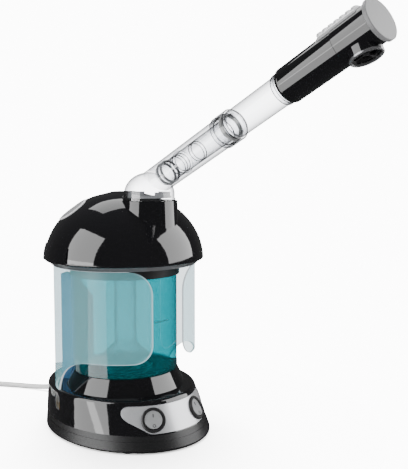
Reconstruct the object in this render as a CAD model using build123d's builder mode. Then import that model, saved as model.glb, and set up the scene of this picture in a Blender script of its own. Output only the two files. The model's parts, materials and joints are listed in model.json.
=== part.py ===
from build123d import *
import os
from math import acos, cos, degrees, radians, sin, sqrt, tan

# Tabletop facial steamer: an oval base with a boiler and two rocker switches, a water tank behind a frosted
# shell, a lift-off dome, and a telescopic steam arm that swivels on the dome. The front of the object looks
# along -Y. Z = 0 is the table under the feet, and the tank's axis is the Z axis.

# ---- driving dimensions, in millimetres and degrees ----
wall = 2.5
running_gap = 0.05
body_gap = 0.4

foot_y, foot_half_width, foot_half_length = -2.1, 75.5, 94.4
rim_y, rim_half_width, rim_half_length = 9.0, 68.3, 83.0
pan_floor_z, groove_z, split_z, rim_z = 1.5, 10.3, 15.7, 44.4
rim_rounding = 3.5
plate_thickness = 2.6

foot_pads = [(-44, -62), (44, -62), (-46, 58), (46, 58)]
foot_pad_radius = 8.0
screw_spots = [(-56, -18), (56, -18), (-56, 36), (56, 36)]
screw_head_radius, screw_radius, boss_radius = 3.2, 1.5, 4.0

cover_foot_radius, cover_top_radius, cover_top_z = 59.5, 51.9, 59.5
tank_radius, tank_wall, tank_top_z = 51.9, 2.4, 160.0
riser_radius = 11.0
shell_radius, shell_wall, shell_top_z, shell_front_z = 70.5, 2.2, 165.0, 78.5
slot_half_width, slot_top_rounding, slot_foot_rounding = 18.6, 23.0, 17.0

dome_radius, dome_edge_z, dome_rise, dome_edge_wall, dome_top_wall = 79.0, 169.5, 67.6, 4.0, 2.6
lid_z, lid_radius = 164.8, 67.9
neck_offset, neck_top_z, neck_foot_z, neck_radius, neck_draft = 40.2, 229.0, 203.0, 26.8, 2.7
neck_bore, pocket_radius = 22.0, 25.8

arm_tilt = 25.0
arm_root_z = 242.5
turret_radius, turret_rise, turret_wall = 24.2, 20.8, 2.3
tube_radius, tube_wall, tube_end = 13.4, 2.1, 120.0
tail_radius, tail_start, step_start = 9.8, 24.0, 127.5
upper_radius, upper_wall, upper_end = 12.6, 1.7, 196.0
collar_start, collar_radius = 110.0, 14.4

head_start, head_step, head_end = 189.0, 247.0, 278.0
head_radius, head_front_radius, head_bore = 14.9, 15.4, 13.6
outlet_station, outlet_radius, outlet_bore, outlet_drop = 261.0, 13.0, 10.8, 18.8
cap_radius, cap_thickness = 16.8, 3.5

switch_angle, switch_z = 21.5, 28.0
bezel_radius, barrel_radius, rocker_radius, rocker_tilt = 11.5, 9.9, 8.6, 7.0
panel_half_width, panel_bottom_z, panel_top_z, panel_thickness = 48.0, 17.0, 40.2, 1.0

button_angle, button_reach = 117.0, 52.0
button_half_length, button_half_width = 19.0, 16.0

cord_radius = 2.5
exit_z, exit_y = 9.5, 119.0

dome_form_steps = 8

# ---- frames of reference ----
down_arm = Vector(0, -cos(radians(arm_tilt)), sin(radians(arm_tilt)))
arm_up = Vector(0, sin(radians(arm_tilt)), cos(radians(arm_tilt)))
arm_root = Vector(0, -neck_offset, arm_root_z)
arm_axis = Axis(arm_root, down_arm)
arm_section = Plane(origin=arm_root, x_dir=(1, 0, 0), z_dir=arm_up * -1)
neck_section = Plane.XZ.offset(neck_offset)
neck_axis = Axis((0, -neck_offset, 0), (0, 0, 1))


def across_arm(station):
    """Plane square to the arm at a distance along it; its X is the object's X."""
    return Plane(origin=arm_root + down_arm * station, x_dir=(1, 0, 0), z_dir=down_arm)


def upright_section(angle):
    """Upright plane through the tank's axis, at an angle from the front towards +X."""
    turn = radians(angle)
    return Plane(origin=(0, 0, 0), x_dir=(sin(turn), -cos(turn), 0), z_dir=(-cos(turn), -sin(turn), 0))


def turned(section, axis, outline, arc=360.0, mode=Mode.ADD):
    """Revolve a closed outline of (radius, height) points, in the part being built."""
    with BuildSketch(section) as profile:
        with BuildLine():
            Polyline(*outline, close=True)
        make_face()
    revolve(profile.sketch, axis=axis, revolution_arc=arc, mode=mode)


def base_oval(height, inset):
    """One level oval of the base's leaning wall, drawn in by inset."""
    share = height / rim_z
    with BuildSketch(Plane((0, foot_y + share * (rim_y - foot_y), height))) as oval:
        Ellipse(
            foot_half_width + share * (rim_half_width - foot_half_width) - inset,
            foot_half_length + share * (rim_half_length - foot_half_length) - inset,
        )
    return oval.sketch


def base_block(low, high, inset, mode=Mode.ADD):
    """The base's leaning oval block between two heights, in the part being built."""
    loft([base_oval(low, inset), base_oval(high, inset)], mode=mode)


def wall_plane(angle, height):
    """Plane on the base's leaning wall, facing out, with its X level and to the right."""
    turn = radians(angle)
    share = height / rim_z
    half_width = foot_half_width + share * (rim_half_width - foot_half_width)
    half_length = foot_half_length + share * (rim_half_length - foot_half_length)
    centre_y = foot_y + share * (rim_y - foot_y)
    level = Vector(half_width * cos(turn), half_length * sin(turn), 0).normalized()
    rise = Vector(
        (rim_half_width - foot_half_width) * sin(turn),
        (rim_y - foot_y) - (rim_half_length - foot_half_length) * cos(turn),
        rim_z,
    )
    place = Vector(half_width * sin(turn), centre_y - half_length * cos(turn), height)
    return Plane(origin=place, x_dir=level, z_dir=level.cross(rise))


def dome_plane(angle, reach):
    """Plane that touches the dome at an angle from the front and a distance from the axis; X is level."""
    turn = radians(angle)
    outward = Vector(sin(turn), -cos(turn), 0)
    height = dome_rise * sqrt(1 - (reach / dome_radius) ** 2)
    slope = outward * (reach / dome_radius**2) + Vector(0, 0, height / dome_rise**2)
    level = Vector(cos(turn), sin(turn), 0)
    return Plane(origin=outward * reach + Vector(0, 0, dome_edge_z + height), x_dir=level, z_dir=slope)


def corner_radii(route, share=0.45):
    """The largest arc that each corner of a route takes from its two runs."""
    radii = []
    for before, corner, after in zip(route, route[1:], route[2:]):
        first = Vector(*corner) - Vector(*before)
        second = Vector(*after) - Vector(*corner)
        half_turn = radians(first.get_angle(second)) / 2
        radii.append(share * min(first.length, second.length) / tan(half_turn))
    return radii


def cord_tube(route):
    """Round cord along straight runs joined by tangent arcs, in the part being built."""
    with BuildLine() as path:
        FilletPolyline(*route, radius=corner_radii(route))
    with BuildSketch(Plane(origin=path.line @ 0, z_dir=path.line % 0)) as section:
        Circle(cord_radius)
    sweep(section.sketch, path=path.line)


def finish(builder, label):
    """Label a finished piece and write it."""
    builder.part.label = label
    export_step(builder.part, f"parts/{label}.step")


os.makedirs("parts", exist_ok=True)

# ==== base: pan, feet, screws, housing ====
pad_recess = 0.7
floor_thickness = 2.2
band_inset = 0.5
inlet_radius = 4.6
post_top_z = 14.0

with BuildPart() as base_pan:
    base_block(pan_floor_z, groove_z, 0)
    fillet(base_pan.edges().group_by(Axis.Z)[0], 1.2)
    base_block(groove_z, split_z, band_inset)
    base_block(pan_floor_z + floor_thickness, split_z, wall, mode=Mode.SUBTRACT)
    with BuildSketch(Plane.XY.offset(pan_floor_z + floor_thickness)):
        with Locations(*screw_spots):
            Circle(boss_radius + 1.5)
    extrude(amount=post_top_z - pan_floor_z - floor_thickness)
    with BuildSketch(Plane.XY.offset(pan_floor_z)):
        with Locations(*screw_spots):
            Circle(screw_radius)
    extrude(amount=post_top_z, mode=Mode.SUBTRACT)
    with BuildSketch(Plane.XY.offset(pan_floor_z)):
        with Locations(*screw_spots):
            Circle(screw_head_radius + 0.3)
    extrude(amount=8, mode=Mode.SUBTRACT)
    with BuildSketch(Plane.XY.offset(pan_floor_z)):
        with Locations(*foot_pads):
            Circle(foot_pad_radius)
    extrude(amount=pad_recess, mode=Mode.SUBTRACT)
    with BuildSketch(Plane.XZ.offset(-70)):
        with Locations((0, exit_z)):
            Circle(inlet_radius)
    extrude(amount=-40, mode=Mode.SUBTRACT)
finish(base_pan, "base_pan")

with BuildPart() as rubber_feet:
    with BuildSketch():
        with Locations(*foot_pads):
            Circle(foot_pad_radius)
    extrude(amount=pan_floor_z + pad_recess)
    chamfer(rubber_feet.edges().group_by(Axis.Z)[0], 0.6)
finish(rubber_feet, "rubber_feet")

screw_shoulder_z = pan_floor_z + 8
screw_length = 18.0
with BuildPart() as base_screws:
    with BuildSketch(Plane.XY.offset(screw_shoulder_z - 2.4)):
        with Locations(*screw_spots):
            Circle(screw_head_radius)
            Rectangle(3.6, 0.9, mode=Mode.SUBTRACT)
            Rectangle(0.9, 3.6, mode=Mode.SUBTRACT)
    extrude(amount=1.2)
    with BuildSketch(Plane.XY.offset(screw_shoulder_z - 1.2)):
        with Locations(*screw_spots):
            Circle(screw_head_radius)
    extrude(amount=1.2)
    with BuildSketch(Plane.XY.offset(screw_shoulder_z)):
        with Locations(*screw_spots):
            Circle(screw_radius)
    extrude(amount=screw_length)
finish(base_screws, "base_screws")

plate_z = rim_z - plate_thickness
plate_hole_radius = 50.0
with BuildPart() as base_housing:
    base_block(split_z, rim_z, 0)
    fillet(base_housing.edges().group_by(Axis.Z)[-1], rim_rounding)
    base_block(split_z, plate_z, wall, mode=Mode.SUBTRACT)
    with BuildSketch(Plane.XY.offset(post_top_z)):
        with Locations(*screw_spots):
            Circle(boss_radius)
    extrude(amount=plate_z - post_top_z)
    with BuildSketch(Plane.XY.offset(post_top_z)):
        with Locations(*screw_spots):
            Circle(screw_radius)
    extrude(amount=screw_shoulder_z + screw_length - post_top_z, mode=Mode.SUBTRACT)
    with BuildSketch(Plane.XY.offset(plate_z)):
        Circle(plate_hole_radius)
    extrude(amount=plate_thickness, mode=Mode.SUBTRACT)
    for side in (-1, 1):
        with BuildSketch(wall_plane(side * switch_angle, switch_z).offset(-12)):
            Circle(barrel_radius)
        extrude(amount=24, mode=Mode.SUBTRACT)
finish(base_housing, "base_housing")

# ---- control panel: a thin plate that follows the sloping front wall ----
with BuildPart() as control_panel:
    base_block(split_z, rim_z, -panel_thickness)
    base_block(split_z, rim_z, 0, mode=Mode.SUBTRACT)
    with BuildSketch(Plane.XZ.offset(30)):
        with BuildLine():
            panel_outline = Polyline(
                (-panel_half_width, panel_top_z),
                (panel_half_width, panel_top_z),
                (panel_half_width, panel_bottom_z + 12),
                (panel_half_width - 16, panel_bottom_z),
                (-panel_half_width + 16, panel_bottom_z),
                (-panel_half_width, panel_bottom_z + 12),
                close=True,
            )
        make_face()
        fillet(vertices(), 7)
    extrude(amount=90, mode=Mode.INTERSECT)
    for side in (-1, 1):
        with BuildSketch(wall_plane(side * switch_angle, switch_z).offset(-12)):
            Circle(barrel_radius)
        extrude(amount=24, mode=Mode.SUBTRACT)
finish(control_panel, "control_panel")

# ---- rocker switches: a bezel and barrel, a rocker on a level pin, and push-on terminals ----
barrel_depth = 15.0
barrel_bore = 8.95
flange_height = 2.6
rocker_pivot_depth = 1.2
rocker_height = 2.4
rocker_crown = 0.8
for side, name in ((-1, "steam"), (1, "ozone")):
    face = wall_plane(side * switch_angle, switch_z)
    with BuildPart() as switch_body:
        with BuildSketch(face.offset(-2)):
            Circle(bezel_radius)
        extrude(amount=2 + flange_height)
        chamfer(switch_body.faces().sort_by(Axis(face.origin, face.z_dir))[-1].edges(), 0.7)
        base_block(split_z, rim_z, -panel_thickness, mode=Mode.SUBTRACT)
        with BuildSketch(face.offset(-barrel_depth)):
            Circle(barrel_radius)
        extrude(amount=barrel_depth + flange_height - 0.8)
        with BuildSketch(face.offset(2 - barrel_depth)):
            Circle(barrel_bore)
        extrude(amount=barrel_depth + flange_height, mode=Mode.SUBTRACT)
    finish(switch_body, f"{name}_switch_body")

    pivot = face.offset(-rocker_pivot_depth)
    rocker_plane = pivot.rotated((-rocker_tilt, 0, 0))
    rocker_axis = Axis(pivot.origin, pivot.x_dir)
    print(f"{name}_rocker axis", rocker_axis.position, rocker_axis.direction)
    with BuildPart() as rocker:
        with BuildSketch(Plane(rocker_plane.origin, x_dir=rocker_plane.y_dir, z_dir=rocker_plane.x_dir)):
            with BuildLine():
                Polyline(
                    (-rocker_radius, -3.0),
                    (rocker_radius, -3.0),
                    (rocker_radius, rocker_height + rocker_pivot_depth),
                    (0, rocker_height + rocker_pivot_depth - rocker_crown),
                    (-rocker_radius, rocker_height + rocker_pivot_depth),
                    close=True,
                )
            make_face()
        extrude(amount=rocker_radius, both=True)
        with BuildSketch(rocker_plane.offset(-4)):
            Circle(rocker_radius - 0.25)
        extrude(amount=12, mode=Mode.INTERSECT)
    finish(rocker, f"{name}_rocker")

with BuildPart() as switch_terminals:
    for side in (-1, 1):
        with BuildSketch(wall_plane(side * switch_angle, switch_z).offset(-barrel_depth)):
            with GridLocations(0, 4.5, 1, 3):
                Rectangle(4.8, 0.8)
        extrude(amount=-8)
finish(switch_terminals, "switch_terminals")

# ==== boiler ====
cover_wall = 3.2
lip_radius, lip_z = 46.5, 56.8
with BuildPart() as boiler_cover:
    turned(
        Plane.XZ,
        Axis.Z,
        [
            (cover_foot_radius, rim_z),
            (cover_top_radius, cover_top_z),
            (lip_radius, cover_top_z),
            (lip_radius, lip_z),
            (cover_top_radius - 2.3, lip_z),
            (cover_foot_radius - cover_wall, rim_z),
        ],
    )
finish(boiler_cover, "boiler_cover")

boiler_radius, boiler_floor_z, boiler_wall = 34.0, 33.0, 2.5
flange_top_z = 58.3
with BuildPart() as boiler_pan:
    turned(
        Plane.XZ,
        Axis.Z,
        [
            (0, boiler_floor_z),
            (boiler_radius, boiler_floor_z),
            (boiler_radius, lip_z),
            (lip_radius, lip_z),
            (lip_radius, flange_top_z),
            (boiler_radius - boiler_wall, flange_top_z),
            (boiler_radius - boiler_wall, boiler_floor_z + boiler_wall),
            (0, boiler_floor_z + boiler_wall),
        ],
    )
finish(boiler_pan, "boiler_pan")

with BuildPart() as tank_gasket:
    turned(
        Plane.XZ,
        Axis.Z,
        [(37, flange_top_z), (45, flange_top_z), (45, cover_top_z), (37, cover_top_z)],
    )
finish(tank_gasket, "tank_gasket")

heater_radius, heater_thickness = 26.0, 7.0
heater_bottom_z = boiler_floor_z - heater_thickness
with BuildPart() as heater_plate:
    with BuildSketch(Plane.XY.offset(heater_bottom_z)):
        Circle(heater_radius)
    extrude(amount=heater_thickness)
    chamfer(heater_plate.edges().group_by(Axis.Z)[0], 1.0)
    with BuildSketch(Plane.XY.offset(heater_bottom_z)):
        with Locations((-17, 8), (-17, -8)):
            Rectangle(6.3, 0.8)
    extrude(amount=-8)
finish(heater_plate, "heater_plate")

with BuildPart() as thermostat:
    with BuildSketch(Plane.XY.offset(heater_bottom_z)):
        with Locations((8, 8)):
            Circle(8)
    extrude(amount=-5)
    with BuildSketch(Plane.XY.offset(heater_bottom_z - 5)):
        with Locations((4.5, 8), (11.5, 8)):
            Rectangle(0.8, 5)
    extrude(amount=-4)
finish(thermostat, "thermostat")

with BuildPart() as thermal_fuse:
    with BuildSketch(Plane.YZ.offset(1)):
        with Locations((-10, heater_bottom_z - 2.4)):
            Circle(2.4)
    extrude(amount=14)
    with BuildSketch(Plane.YZ.offset(-5)):
        with Locations((-10, heater_bottom_z - 2.4)):
            Circle(0.6)
    extrude(amount=6)
finish(thermal_fuse, "thermal_fuse")

board_z = 8.0
board_spot = (0, 55)
with BuildPart() as board_posts:
    with BuildSketch(Plane.XY.offset(pan_floor_z + floor_thickness)):
        with Locations(board_spot):
            with GridLocations(44, 20, 2, 2):
                Circle(2.4)
    extrude(amount=board_z - pan_floor_z - floor_thickness)
finish(board_posts, "board_posts")

with BuildPart() as circuit_board:
    with BuildSketch(Plane.XY.offset(board_z)):
        with Locations(board_spot):
            RectangleRounded(54, 30, 2)
    extrude(amount=1.6)
    with BuildSketch(Plane.XY.offset(board_z + 1.6)):
        with Locations((-14, 55)):
            Rectangle(17, 16)
        with Locations((16, 61)):
            Rectangle(14, 8)
    extrude(amount=13)
    with BuildSketch(Plane.XY.offset(board_z + 1.6)):
        with Locations((6, 50), (16, 50)):
            Circle(3.6)
    extrude(amount=11)
finish(circuit_board, "circuit_board")

# ==== tank, riser and shell ====
tank_floor = 2.8
boiler_mouth_radius = 28.0
with BuildPart() as water_tank:
    with BuildSketch(Plane.XY.offset(cover_top_z)):
        Circle(tank_radius)
    extrude(amount=tank_top_z - cover_top_z)
    with BuildSketch(Plane.XY.offset(cover_top_z + tank_floor)):
        Circle(tank_radius - tank_wall)
    extrude(amount=tank_top_z - cover_top_z, mode=Mode.SUBTRACT)
    with BuildSketch(Plane.XY.offset(cover_top_z)):
        Circle(boiler_mouth_radius)
    extrude(amount=tank_floor, mode=Mode.SUBTRACT)
    fillet(water_tank.edges().group_by(Axis.Z)[-1], 0.6)
    tank_underside = water_tank.faces().filter_by(GeomType.PLANE).group_by(Axis.Z)[0]
    chamfer(tank_underside.edges().sort_by(SortBy.LENGTH)[-1], 0.8)
finish(water_tank, "water_tank")

mark_z, mark_angle, mark_arc = 112.0, -4.0, 20.0
with BuildPart() as level_mark:
    turned(
        upright_section(mark_angle),
        Axis.Z,
        [
            (tank_radius, mark_z),
            (tank_radius + 0.4, mark_z),
            (tank_radius + 0.4, mark_z + 0.9),
            (tank_radius, mark_z + 0.9),
        ],
        arc=mark_arc,
    )
finish(level_mark, "level_mark")

riser_foot_z = cover_top_z + tank_floor
riser_top_z = 163.0
riser_bell = 31.0
with BuildPart() as steam_riser:
    turned(
        Plane.XZ,
        Axis.Z,
        [
            (riser_bell - 2, riser_foot_z),
            (riser_bell, riser_foot_z),
            (riser_bell, riser_foot_z + 3),
            (riser_radius, riser_foot_z + 22),
            (riser_radius, riser_top_z),
            (riser_radius - 1.8, riser_top_z),
            (riser_radius - 1.8, riser_foot_z + 21),
            (riser_bell - 2, riser_foot_z + 2.4),
        ],
    )
    with BuildSketch(Plane.XY.offset(riser_foot_z)):
        with PolarLocations(0, 4):
            with Locations((riser_bell, 0)):
                Rectangle(14, 6)
    extrude(amount=2.2, mode=Mode.SUBTRACT)
finish(steam_riser, "steam_riser")

# The shell wraps the tank from one side of the front slot to the other. Its lower edge is level round the
# front and sweeps down to the base behind.
sweep_start_y, sweep_radius = -30.0, 50.0
sweep_rise = rim_z - shell_front_z + sweep_radius
sweep_end_y = sweep_start_y + sqrt(sweep_radius**2 - sweep_rise**2)
slot_top_x = slot_half_width + slot_top_rounding
slot_foot_x = slot_half_width + slot_foot_rounding
far = 90.0
with BuildPart() as frosted_shell:
    turned(
        Plane.XZ,
        Axis.Z,
        [
            (shell_radius, rim_z),
            (shell_radius, shell_top_z),
            (shell_radius - shell_wall, shell_top_z),
            (shell_radius - shell_wall, rim_z),
        ],
    )
    with BuildSketch(Plane.YZ.offset(-far)):
        with BuildLine():
            Polyline(
                (sweep_end_y, rim_z),
                (-far, rim_z),
                (-far, shell_front_z),
                (sweep_start_y, shell_front_z),
            )
            CenterArc(
                (sweep_start_y, shell_front_z - sweep_radius),
                sweep_radius,
                90,
                -degrees(acos(sweep_rise / sweep_radius)),
            )
        make_face()
    extrude(amount=2 * far, mode=Mode.SUBTRACT)
    with BuildSketch(Plane.XZ):
        with BuildLine():
            CenterArc((-slot_top_x, shell_top_z - slot_top_rounding), slot_top_rounding, 90, -90)
            Line(
                (-slot_half_width, shell_top_z - slot_top_rounding),
                (-slot_half_width, shell_front_z + slot_foot_rounding),
            )
            CenterArc((-slot_foot_x, shell_front_z + slot_foot_rounding), slot_foot_rounding, 0, -90)
            Polyline(
                (-slot_foot_x, shell_front_z),
                (-slot_foot_x, shell_front_z - 1),
                (0, shell_front_z - 1),
                (0, shell_top_z + 1),
                (-slot_top_x, shell_top_z + 1),
                (-slot_top_x, shell_top_z),
            )
        make_face()
        mirror(about=Plane.YZ)
    extrude(amount=far, mode=Mode.SUBTRACT)
finish(frosted_shell, "frosted_shell")

# ---- wiring duct between the base and the dome, behind the tank ----
duct_angle, duct_half_arc, duct_top_z, duct_wall, duct_cap = -158.0, 19.0, 153.0, 1.8, 30.0
duct_foot_inner, duct_inner, duct_outer, duct_knee_z = 60.0, 53.2, 66.5, 60.5
duct_wall_arc = degrees(duct_wall / duct_inner)
duct_slope_angle, duct_slope_drop, duct_slope_z = -165.0, 1.1, 137.0
slope_turn = radians(duct_slope_angle)
slope_out = Vector(sin(slope_turn), -cos(slope_turn), 0)
slope_along = Vector(-cos(slope_turn), -sin(slope_turn), -duct_slope_drop)
duct_slope = Plane(
    origin=slope_out * duct_outer + Vector(0, 0, duct_slope_z),
    x_dir=slope_out,
    z_dir=slope_out.cross(slope_along),
)
with BuildPart() as wiring_duct:
    turned(
        upright_section(duct_angle - duct_half_arc),
        Axis.Z,
        [
            (duct_foot_inner, rim_z),
            (duct_outer, rim_z),
            (duct_outer, duct_top_z),
            (duct_inner, duct_top_z),
            (duct_inner, duct_knee_z),
        ],
        arc=2 * duct_half_arc,
    )
    turned(
        upright_section(duct_angle - duct_half_arc + duct_wall_arc),
        Axis.Z,
        [
            (duct_foot_inner + duct_wall, rim_z),
            (duct_outer - duct_wall, rim_z),
            (duct_outer - duct_wall, duct_top_z - duct_cap),
            (duct_inner + duct_wall, duct_top_z - duct_cap),
            (duct_inner + duct_wall, duct_knee_z),
        ],
        arc=2 * (duct_half_arc - duct_wall_arc),
        mode=Mode.SUBTRACT,
    )
    split(bisect_by=duct_slope, keep=Keep.TOP)
finish(wiring_duct, "wiring_duct")

# ==== dome ====
def dome_form(side_grow, crown_grow):
    """The dome's outer form, grown outwards by one amount at its edge and another at its crown."""
    radius = dome_radius + side_grow
    rise = dome_rise + crown_grow
    quarter = [radians(90 * step / dome_form_steps) for step in range(dome_form_steps + 1)]
    with BuildPart() as form:
        with BuildSketch(Plane.XZ):
            with BuildLine():
                Spline(
                    *[(radius * cos(turn), dome_edge_z + rise * sin(turn)) for turn in quarter],
                    tangents=[(0, 1), (-1, 0)],
                )
                Polyline((0, dome_edge_z + rise), (0, dome_edge_z), (radius, dome_edge_z))
            make_face()
        revolve(axis=Axis.Z)
    return form.part


band_proud, band_start, band_arc, band_low_z, band_high_z = 1.3, -145.0, 66.0, 172.0, 186.0
neck_column = neck_radius + 1.6
neck_foot_radius = neck_radius + (neck_top_z - neck_foot_z) * tan(radians(neck_draft))

with BuildPart() as dome_cavity:
    add(dome_form(-dome_edge_wall, -dome_top_wall))
    with BuildSketch(Plane.XY.offset(neck_foot_z)):
        with Locations((0, -neck_offset)):
            Circle(neck_column)
    extrude(amount=dome_rise, mode=Mode.SUBTRACT)

band_middle_z = (band_low_z + band_high_z) / 2
with BuildPart() as dome_band:
    turned(
        upright_section(band_start),
        Axis.Z,
        [
            (dome_radius - 3, band_low_z),
            (dome_radius + band_proud, band_low_z),
            (dome_radius + band_proud - 0.7, band_middle_z),
            (dome_radius + band_proud - 2.6, band_high_z),
            (dome_radius - dome_edge_wall, band_high_z),
        ],
        arc=band_arc,
    )

with BuildPart() as dome_cover:
    add(dome_form(0, 0))
    fillet(dome_cover.edges().group_by(Axis.Z)[0], 2.4)
    add(dome_band.part)
    turned(
        neck_section,
        neck_axis,
        [(0, neck_foot_z), (neck_foot_radius, neck_foot_z), (neck_radius, neck_top_z), (0, neck_top_z)],
    )
    add(dome_cavity.part, mode=Mode.SUBTRACT)
    with BuildSketch(Plane.XY.offset(neck_top_z)):
        with Locations((0, -neck_offset)):
            Circle(pocket_radius)
    extrude(amount=dome_rise, mode=Mode.SUBTRACT)
    with BuildSketch(Plane.XY.offset(neck_foot_z)):
        with Locations((0, -neck_offset)):
            Circle(neck_bore)
    extrude(amount=dome_rise, mode=Mode.SUBTRACT)
    for side in (-1, 1):
        with BuildSketch(dome_plane(side * button_angle, button_reach).offset(-20)):
            Ellipse(button_half_length, button_half_width)
        extrude(amount=40, mode=Mode.SUBTRACT)
finish(dome_cover, "dome_cover")

trim_z, trim_inner, trim_outer_top, trim_outer_foot, lid_top_z = 165.4, 66.0, 76.0, 71.5, 168.0
with BuildPart() as trim_ring:
    turned(
        Plane.XZ,
        Axis.Z,
        [
            (lid_radius, trim_z),
            (trim_outer_foot, trim_z),
            (trim_outer_top, dome_edge_z),
            (dome_radius - dome_edge_wall - 0.3, dome_edge_z),
            (dome_radius - dome_edge_wall - 0.3, dome_edge_z + 2),
            (trim_inner, dome_edge_z + 2),
            (trim_inner, lid_top_z),
            (lid_radius, lid_top_z),
        ],
    )
finish(trim_ring, "trim_ring")

skirt_inner, skirt_outer, skirt_foot_z, port_radius = 52.4, 54.6, 155.0, 12.5
with BuildPart() as dome_lid:
    turned(
        Plane.XZ,
        Axis.Z,
        [
            (port_radius, lid_z),
            (skirt_inner, lid_z),
            (skirt_inner, skirt_foot_z),
            (skirt_outer, skirt_foot_z),
            (skirt_outer, lid_z),
            (lid_radius, lid_z),
            (lid_radius, lid_top_z),
            (port_radius, lid_top_z),
        ],
    )
finish(dome_lid, "dome_lid")

with BuildPart() as lid_seal:
    turned(
        Plane.XZ,
        Axis.Z,
        [(46, tank_top_z + body_gap), (52, tank_top_z + body_gap), (52, lid_z), (46, lid_z)],
    )
finish(lid_seal, "lid_seal")

duct_foot_radius, duct_head_radius, duct_skin = 16.0, 24.0, 2.0
with BuildPart() as steam_duct:
    with BuildSketch(Plane.XY.offset(lid_top_z)):
        Circle(duct_foot_radius)
    with BuildSketch(Plane.XY.offset(neck_foot_z)):
        with Locations((0, -neck_offset)):
            Circle(duct_head_radius)
    loft()
    with BuildSketch(Plane.XY.offset(lid_top_z)):
        Circle(duct_foot_radius - duct_skin)
    with BuildSketch(Plane.XY.offset(neck_foot_z)):
        with Locations((0, -neck_offset)):
            Circle(duct_head_radius - duct_skin)
    loft(mode=Mode.SUBTRACT)
finish(steam_duct, "steam_duct")

# ---- ozone lamp on its socket, behind the steam duct ----
lamp_y, lamp_z, lamp_radius, lamp_half_length = 40.0, 186.0, 6.5, 22.0
with BuildPart() as lamp_socket:
    with BuildSketch(Plane.XY.offset(lid_top_z)):
        with Locations((-lamp_half_length - 5, lamp_y)):
            Rectangle(10, 16)
    extrude(amount=lamp_z - lid_top_z + 9)
    with BuildSketch(Plane.XY.offset(lid_top_z)):
        with Locations((lamp_half_length + 3, lamp_y)):
            Rectangle(6, 16)
    extrude(amount=lamp_z - lid_top_z)
    with BuildSketch(Plane.YZ):
        with Locations((lamp_y, lamp_z)):
            Circle(lamp_radius)
    extrude(amount=lamp_half_length + 10, mode=Mode.SUBTRACT)
finish(lamp_socket, "lamp_socket")

with BuildPart() as ozone_lamp:
    with BuildSketch(Plane.YZ.offset(-lamp_half_length)):
        with Locations((lamp_y, lamp_z)):
            Circle(lamp_radius)
    extrude(amount=2 * lamp_half_length + 3)
    fillet(ozone_lamp.edges().group_by(Axis.X)[-1], 5)
finish(ozone_lamp, "ozone_lamp")

# ---- release buttons on the dome's flanks, each in an oval cup ----
cup_wall, cup_floor, cup_depth = 1.8, 1.4, 10.0
button_gap, button_plate_depth, stem_radius = 0.3, 5.0, 4.0
bezel_outside = dome_form(0.6, 0.6)
button_outside = dome_form(0.2, 0.2)
for side, name in ((-1, "left"), (1, "right")):
    seat = dome_plane(side * button_angle, button_reach)
    print(f"button_{name} axis", seat.z_dir)
    with BuildPart() as button_cup:
        with BuildSketch(seat.offset(-cup_depth)):
            Ellipse(button_half_length, button_half_width)
        extrude(amount=cup_depth + 3)
        add(bezel_outside, mode=Mode.INTERSECT)
        with BuildSketch(seat.offset(cup_floor - cup_depth)):
            Ellipse(button_half_length - cup_wall, button_half_width - cup_wall)
        extrude(amount=cup_depth + 3, mode=Mode.SUBTRACT)
        with BuildSketch(seat.offset(-cup_depth)):
            Circle(stem_radius + 0.3)
        extrude(amount=cup_floor, mode=Mode.SUBTRACT)
    finish(button_cup, f"button_cup_{name}")

    with BuildPart() as release_button:
        with BuildSketch(seat.offset(-button_plate_depth)):
            Ellipse(button_half_length - cup_wall - button_gap, button_half_width - cup_wall - button_gap)
        extrude(amount=cup_depth + 3)
        add(button_outside, mode=Mode.INTERSECT)
        with BuildSketch(seat.offset(-button_plate_depth)):
            Circle(stem_radius)
        extrude(amount=-cup_depth + 1)
    finish(release_button, f"release_button_{name}")

with BuildPart() as button_springs:
    for side in (-1, 1):
        with BuildSketch(dome_plane(side * button_angle, button_reach).offset(cup_floor - cup_depth)):
            Circle(9)
            Circle(stem_radius + 0.6, mode=Mode.SUBTRACT)
        extrude(amount=0.4)
finish(button_springs, "button_springs")

# ==== swivel and arm ====
spigot_radius, spigot_bore, spigot_foot_z = 20.0, 17.0, 206.0
turret_foot_z = neck_top_z + 0.3
turret_floor = 2.2
flange_radius = 24.9
shoulder_z = 235.0
ring_low_z, ring_high_z, ring_depth = 208.5, 211.0, 1.2
tube_start, bore_start = 6.0, 14.0

with BuildPart() as swivel_bush:
    turned(
        neck_section,
        neck_axis,
        [
            (spigot_radius + running_gap, ring_high_z + body_gap),
            (neck_bore, ring_high_z + body_gap),
            (neck_bore, neck_top_z - 0.4),
            (spigot_radius + running_gap, neck_top_z - 0.4),
        ],
    )
finish(swivel_bush, "swivel_bush")

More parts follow.
